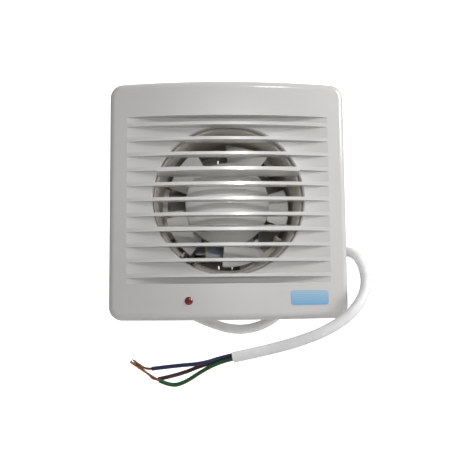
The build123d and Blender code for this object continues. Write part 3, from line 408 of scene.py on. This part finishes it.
def worked_metal(name, colour, stain, shiniest=0.2, dullest=0.45, line_scale=(2500.0, 60.0, 2500.0),
                 line_depth=0.000008, edge=0.0):
    """A drawn, ground or plated metal. Its lines run along the axis with the smallest line_scale."""
    material, tree, shader = new_material(name)
    surface = put(tree, "ShaderNodeGroup", node_tree=metal_group)
    surface.inputs["Colour"].default_value = (*colour, 1)
    surface.inputs["Stain"].default_value = (*stain, 1)
    surface.inputs["Line Scale"].default_value = line_scale
    surface.inputs["Shiniest"].default_value = shiniest
    surface.inputs["Dullest"].default_value = dullest
    bump = put(tree, "ShaderNodeBump", {"Height": surface.outputs["Height"], "Strength": 0.6,
                                        "Distance": line_depth})
    if edge:
        soft = put(tree, "ShaderNodeBevel", {"Radius": edge}, samples=4)
        tree.links.new(soft.outputs["Normal"], bump.inputs["Normal"])
    tree.links.new(surface.outputs["Colour"], shader.inputs["Base Color"])
    tree.links.new(surface.outputs["Roughness"], shader.inputs["Roughness"])
    tree.links.new(bump.outputs["Normal"], shader.inputs["Normal"])
    shader.inputs["Metallic"].default_value = 1.0
    return material


pin_steel = worked_metal("ground pin", (0.62, 0.62, 0.63), (0.50, 0.49, 0.48),
                         line_scale=(2500.0, 2500.0, 60.0))
finish_node("flap_pin", pin_steel)
music_wire = worked_metal("music wire", (0.48, 0.48, 0.50), (0.36, 0.35, 0.34), 0.22, 0.4)
finish_node("flap_spring_left", music_wire)
finish_node("flap_spring_right", music_wire)


# ------------------------------------------------------------------------------ motor
# A shaded-pole motor: a riveted stack of punched steel sheets with the coil on its lower
# limb, two zinc-plated bridges that hold the sintered bushes, and two long screws.
sheet_pitch = 0.0005
wave_at_scale_one = math.pi / 10
stack_steel, tree, shader = new_material("stacked sheets")
place = put(tree, "ShaderNodeTexCoord").outputs["Object"]
sheets = put(tree, "ShaderNodeTexWave", {"Vector": place, "Scale": wave_at_scale_one / sheet_pitch,
                                         "Distortion": 0.4, "Detail": 1.0},
             wave_type="BANDS", bands_direction="Y")
surface = put(tree, "ShaderNodeGroup", node_tree=metal_group)
surface.inputs["Colour"].default_value = (0.30, 0.30, 0.32, 1)
surface.inputs["Stain"].default_value = (0.20, 0.17, 0.15, 1)
surface.inputs["Shiniest"].default_value = 0.35
surface.inputs["Dullest"].default_value = 0.6
bump = put(tree, "ShaderNodeBump", {"Height": sheets.outputs["Fac"], "Strength": 0.8,
                                    "Distance": 0.00008})
tree.links.new(surface.outputs["Colour"], shader.inputs["Base Color"])
tree.links.new(surface.outputs["Roughness"], shader.inputs["Roughness"])
tree.links.new(bump.outputs["Normal"], shader.inputs["Normal"])
shader.inputs["Metallic"].default_value = 0.9
finish_node("stator_stack", stack_steel)
finish_node("rotor", stack_steel)

zinc = worked_metal("zinc plate", (0.55, 0.56, 0.58), (0.46, 0.45, 0.42), 0.28, 0.5,
                    line_scale=(180.0, 180.0, 180.0), line_depth=0.00002, edge=0.0003)
finish_node("front_bracket", zinc)
finish_node("rear_bracket", zinc)
bronze = worked_metal("sintered bronze", (0.42, 0.27, 0.13), (0.30, 0.19, 0.09), 0.4, 0.6,
                      line_scale=(1800.0, 1800.0, 1800.0), line_depth=0.00003)
finish_node("front_bush", bronze)
finish_node("rear_bush", bronze)
screw_steel = worked_metal("plated screws", (0.60, 0.60, 0.60), (0.50, 0.47, 0.40), 0.2, 0.42,
                           edge=0.00015)
finish_node("motor_screws", screw_steel)
finish_node("motor_nuts", screw_steel)
ground_steel = worked_metal("ground shaft", (0.60, 0.60, 0.61), (0.52, 0.51, 0.50), 0.14, 0.3)
finish_node("motor_shaft", ground_steel)
ring_copper = worked_metal("shading copper", (0.62, 0.29, 0.15), (0.42, 0.18, 0.09), 0.3, 0.5)
finish_node("shading_rings", ring_copper)
nylon = moulded("natural nylon", (0.66, 0.62, 0.52), (0.58, 0.54, 0.44), 0.35, 0.5, drift_scale=60.0,
                grain_depth=0.00002, edge=0.0002)
finish_node("coil_bobbin", nylon)
finish_node("thrust_washers", nylon)


# ------------------------------------------------------------------------------ coil winding
# Enamelled copper wire wound in close turns round the bobbin, under one tight layer of
# thin blue-grey tape. The turns show through as ridges; a solid heart stands for the rest.
winding_wire = 0.0005
corner_radius = 0.0032
corner_steps = 5
low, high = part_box("coil_winding")
tape = moulded("winding tape", (0.34, 0.39, 0.46), (0.26, 0.30, 0.37), 0.22, 0.38, drift_scale=120.0,
               grain_scale=1800.0, grain_depth=0.00002)
depth_middle = (low.y + high.y) / 2
height_middle = (low.z + high.z) / 2
half_depth = (high.y - low.y) / 2 - winding_wire / 2
half_height = (high.z - low.z) / 2 - winding_wire / 2


def turn_places(x, step):
    """One turn round the limb: a rectangle with round corners that moves along by one wire."""
    places = []
    corners = ((1, 1, 0), (-1, 1, 90), (-1, -1, 180), (1, -1, 270))
    for corner, (sign_y, sign_z, first) in enumerate(corners):
        centre_y = depth_middle + sign_y * (half_depth - corner_radius)
        centre_z = height_middle + sign_z * (half_height - corner_radius)
        for index in range(corner_steps):
            angle = math.radians(first + 90 * index / (corner_steps - 1))
            share = (corner + index / (corner_steps - 1)) / len(corners)
            places.append((x + step * share, centre_y + corner_radius * math.cos(angle),
                           centre_z + corner_radius * math.sin(angle)))
    return places


turn_count = int((high.x - low.x) / winding_wire)
coil_curve = bpy.data.curves.new("coil_turns", "CURVE")
coil_curve.dimensions = "3D"
coil_curve.bevel_depth = winding_wire / 2
coil_curve.bevel_resolution = 1
coil_curve.use_fill_caps = True
coil_places = []
for turn in range(turn_count - 1):
    coil_places += turn_places(low.x + winding_wire * (turn + 0.5), winding_wire)
coil_spline = coil_curve.splines.new("POLY")
coil_spline.points.add(len(coil_places) - 1)
for point, place in zip(coil_spline.points, coil_places):
    point.co = (*place, 1)
coil_turns = bpy.data.objects.new("coil_turns", coil_curve)
bpy.context.scene.collection.objects.link(coil_turns)
coil_turns.data.materials.append(tape)
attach(coil_turns, "housing")
finish_node("coil_winding", tape)


# ------------------------------------------------------------------------------ impeller
# Five thin blades and their domed hub are one white moulding. It pushes onto the shaft
# and a spring clip closes its boss on it; the motor's rear end sits inside the hub.
impeller_white = moulded("impeller abs", (0.88, 0.875, 0.86), (0.83, 0.825, 0.81), 0.16, 0.28,
                         drift_scale=20.0, grain_scale=2600.0, grain_depth=0.000008, edge=0.0004,
                         coat=0.25)
finish_node("impeller", impeller_white)
finish_node("hub_clip", music_wire)


# ------------------------------------------------------------------------------ grommet
# A soft white grommet, tapered behind the plate, that grips the flex in its hole and
# keeps it off the edge.
grommet_rubber = moulded("grommet rubber", (0.52, 0.51, 0.49), (0.46, 0.45, 0.43), 0.5, 0.7,
                         drift_scale=80.0, grain_scale=1400.0, grain_depth=0.00004, edge=0.0003)
finish_node("cable_grommet", grommet_rubber)


# ------------------------------------------------------------------------------ terminals and wiring
# A three-way nylon terminal block with brass clamps and slotted screws joins the supply
# cores to the thin motor leads, which run over the inlet ring and back along the duct.
finish_node("terminal_block", nylon)
turned_brass = worked_metal("turned brass", (0.66, 0.48, 0.20), (0.50, 0.35, 0.14), 0.22, 0.4)
finish_node("terminal_clamps", turned_brass)
finish_node("terminal_screws", screw_steel)
finish_node("terminal_fixing_screws", screw_steel)
for line_name, colour_name in (("live", "brown"), ("neutral", "blue"), ("earth", "green")):
    finish_node(f"inner_{line_name}", core_skins[colour_name])
    finish_node(f"lead_{line_name}", core_skins[colour_name])


# ------------------------------------------------------------------------------ indicator lamp
# A small neon lamp in a post of the base shines through a dark red lens that is pushed
# into the cover. Its tinned leads go to the terminals, one through a resistor.
lamp_glass, tree, shader = new_material("lamp glass")
place = put(tree, "ShaderNodeTexCoord").outputs["Object"]
haze = put(tree, "ShaderNodeTexNoise", {"Vector": place, "Scale": 700.0, "Detail": 2.0})
haze_gloss = put(tree, "ShaderNodeMapRange", {"Value": haze.outputs["Fac"], "To Min": 0.03,
                                              "To Max": 0.14})
tree.links.new(haze_gloss.outputs["Result"], shader.inputs["Roughness"])
shader.inputs["Base Color"].default_value = (0.95, 0.86, 0.78, 1)
shader.inputs["Transmission Weight"].default_value = 1.0
shader.inputs["IOR"].default_value = 1.5
finish_node("neon_lamp", lamp_glass)
tinned_wire = worked_metal("tinned wire", (0.62, 0.62, 0.61), (0.48, 0.47, 0.45), 0.25, 0.45)
finish_node("lamp_leads", tinned_wire)
lacquer = moulded("resistor lacquer", (0.62, 0.48, 0.28), (0.52, 0.38, 0.20), 0.3, 0.5, drift_scale=400.0)
finish_node("lamp_resistor", lacquer)

red_lens, tree, shader = new_material("red lens")
place = put(tree, "ShaderNodeTexCoord").outputs["Object"]
depth_drift = put(tree, "ShaderNodeTexNoise", {"Vector": place, "Scale": 500.0, "Detail": 2.0})
lens_tone = blend(tree, depth_drift.outputs["Fac"], (0.22, 0.012, 0.014), (0.10, 0.006, 0.008))
tree.links.new(lens_tone, shader.inputs["Base Color"])
lens_gloss = put(tree, "ShaderNodeMapRange", {"Value": depth_drift.outputs["Fac"], "To Min": 0.08,
                                              "To Max": 0.2})
tree.links.new(lens_gloss.outputs["Result"], shader.inputs["Roughness"])
shader.inputs["Coat Weight"].default_value = 0.6
finish_node("indicator_lens", red_lens)


# ------------------------------------------------------------------------------ front cover
# The bowed, louvred cover is one high-gloss white ABS moulding that snaps over the base
# rim. Fine dust lies along the tops of its slats and on the floors of the grooves.
cover_white = moulded("cover abs", (0.64, 0.635, 0.625), (0.60, 0.595, 0.585), 0.15, 0.24,
                      drift_scale=9.0, grain_scale=700.0, grain_depth=0.000012, edge=0.0004, coat=0.2)
tree = cover_white.node_tree
shader = tree.nodes["Principled BSDF"]
skin_colour = shader.inputs["Base Color"].links[0].from_socket
normal = put(tree, "ShaderNodeNewGeometry").outputs["Normal"]
facing = put(tree, "ShaderNodeSeparateXYZ", {"Vector": normal})
upward = put(tree, "ShaderNodeMapRange", {"Value": facing.outputs["Z"], "From Min": 0.75, "From Max": 1.0})
place = put(tree, "ShaderNodeTexCoord").outputs["Object"]
speckle = put(tree, "ShaderNodeTexNoise", {"Vector": place, "Scale": 900.0, "Detail": 4.0,
                                           "Roughness": 0.7})
settled = put(tree, "ShaderNodeMath", operation="MULTIPLY")
tree.links.new(upward.outputs["Result"], settled.inputs[0])
tree.links.new(speckle.outputs["Fac"], settled.inputs[1])
dusty = blend(tree, settled.outputs["Value"], skin_colour, (0.52, 0.48, 0.44))
tree.links.new(dusty, shader.inputs["Base Color"])
finish_node("front_cover", cover_white)


# ------------------------------------------------------------------------------ label
# A plain, unmarked pale-blue film with rounded corners, stuck to the lower right of the
# cover. Its print is a soft gradient with faint roller lines.
label_film, tree, shader = new_material("label film")
place = put(tree, "ShaderNodeTexCoord").outputs["Object"]
roller = put(tree, "ShaderNodeTexWave", {"Vector": place, "Scale": 260.0, "Distortion": 2.0, "Detail": 2.0},
             wave_type="BANDS", bands_direction="Z")
film_low, film_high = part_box("cover_label")
height_now = put(tree, "ShaderNodeSeparateXYZ", {"Vector": place})
fade = put(tree, "ShaderNodeMapRange", {"Value": height_now.outputs["Z"], "From Min": film_low.z,
                                        "From Max": film_high.z, "To Min": 0.0, "To Max": 0.7})
print_share = put(tree, "ShaderNodeMath", operation="MULTIPLY_ADD")
tree.links.new(roller.outputs["Fac"], print_share.inputs[0])
print_share.inputs[1].default_value = 0.12
tree.links.new(fade.outputs["Result"], print_share.inputs[2])
film_tone = blend(tree, print_share.outputs["Value"], (0.18, 0.42, 0.66), (0.42, 0.58, 0.68))
tree.links.new(film_tone, shader.inputs["Base Color"])
film_gloss = put(tree, "ShaderNodeMapRange", {"Value": roller.outputs["Fac"], "To Min": 0.25,
                                              "To Max": 0.4})
tree.links.new(film_gloss.outputs["Result"], shader.inputs["Roughness"])
finish_node("cover_label", label_film)


# ------------------------------------------------------------------------------ studio
# A plain pale paper that curves up into a backdrop, and an even pale surround. A large soft
# light stands well round to the right, smaller ones high up and in front, a weak one on the
# left, and a narrow pool falls on the middle of the slats.
floor_drop = 0.55
floor_front = -1.6
floor_back = 0.9
sweep_radius = 0.6
floor_half_width = 2.4
backdrop_top = 2.4
sweep_steps = 14
floor_height = cad_box[0].z - floor_drop
profile = [(floor_front, floor_height)]
for step in range(sweep_steps + 1):
    angle = math.pi / 2 * step / sweep_steps
    profile.append((floor_back + sweep_radius * math.sin(angle),
                    floor_height + sweep_radius * (1 - math.cos(angle))))
profile.append((floor_back + sweep_radius, backdrop_top))
sweep_mesh = bmesh.new()
rows = []
for y, z in profile:
    rows.append([sweep_mesh.verts.new((x, y, z)) for x in (-floor_half_width, floor_half_width)])
for near, far in zip(rows, rows[1:]):
    sweep_mesh.faces.new((near[0], near[1], far[1], far[0]))
floor_data = bpy.data.meshes.new("floor")
sweep_mesh.to_mesh(floor_data)
sweep_mesh.free()
for face in floor_data.polygons:
    face.use_smooth = True
floor = bpy.data.objects.new("floor", floor_data)
bpy.context.scene.collection.objects.link(floor)
paper, tree, shader = new_material("studio paper")
place = put(tree, "ShaderNodeTexCoord").outputs["Object"]
fibre = put(tree, "ShaderNodeTexNoise", {"Vector": place, "Scale": 6.0, "Detail": 2.0})
paper_tone = blend(tree, fibre.outputs["Fac"], (0.93, 0.93, 0.93), (0.95, 0.95, 0.95))
tree.links.new(paper_tone, shader.inputs["Base Color"])
shader.inputs["Roughness"].default_value = 0.9
# the paper glows to the eye only, so that it stays white without lighting the fan from below
seen = put(tree, "ShaderNodeLightPath").outputs["Is Camera Ray"]
glow = put(tree, "ShaderNodeMapRange", {"Value": seen, "To Min": 0.0, "To Max": 0.9})
tree.links.new(glow.outputs["Result"], shader.inputs["Emission Strength"])
shader.inputs["Emission Color"].default_value = (1, 1, 1, 1)
floor_data.materials.append(paper)


fan_centre = (0, 0, 0)
warm_white = (1.0, 0.99, 0.975)


def soft_light(name, place, aim, size, power, colour):
    """A rectangular light at a place, turned to face its aim. size is its width and height."""
    data = bpy.data.lights.new(name, "AREA")
    data.shape = "RECTANGLE"
    data.size = size[0]
    data.size_y = size[1]
    data.energy = power
    data.color = colour
    light = bpy.data.objects.new(name, data)
    bpy.context.scene.collection.objects.link(light)
    light.location = place
    light.rotation_euler = (Vector(aim) - Vector(place)).to_track_quat("-Z", "Y").to_euler()
    return light


soft_light("key light", (0.96, -0.40, 0.50), fan_centre, (0.5, 0.5), 10.5, warm_white)
soft_light("high light", (0.36, -1.05, 0.82), fan_centre, (0.22, 0.22), 3.2, warm_white)
# the front light reaches into the duct and leaves no shine on the glossy front
front_light = soft_light("front light", (0.10, -1.30, 0.02), fan_centre, (0.35, 0.35), 2.4, warm_white)
front_light.visible_glossy = False
# a narrow soft pool from the front right brightens the slats' middle and the hub behind them
pool_data = bpy.data.lights.new("pool light", "SPOT")
pool_data.energy = 16.0
pool_data.spot_size = math.radians(6.2)
pool_data.spot_blend = 1.0
pool_data.shadow_soft_size = 0.02
pool_light = bpy.data.objects.new("pool light", pool_data)
bpy.context.scene.collection.objects.link(pool_light)
pool_light.location = (0.12, -1.27, 0.22)
pool_light.rotation_euler = (-Vector(pool_light.location)).to_track_quat("-Z", "Y").to_euler()
soft_light("fill light", (-1.0, -0.8, 0.3), fan_centre, (0.8, 1.0), 0.8, (0.96, 0.98, 1.0))
soft_light("backdrop light", (0, 0.6, 1.8), (0, 1.2, 0.2), (2.4, 0.5), 5.0, (1, 1, 1))

# the surround is white to the eye and dimmer as a light
world = bpy.data.worlds.new("surround")
bpy.context.scene.world = world
world.use_nodes = True
tree = world.node_tree
seen = put(tree, "ShaderNodeLightPath").outputs["Is Camera Ray"]
strength = put(tree, "ShaderNodeMapRange", {"Value": seen, "To Min": 0.19, "To Max": 1.0})
tree.links.new(strength.outputs["Result"], tree.nodes["Background"].inputs["Strength"])
tree.nodes["Background"].inputs["Color"].default_value = (1.0, 1.0, 1.0, 1)
bpy.context.scene.view_settings.view_transform = "Standard"
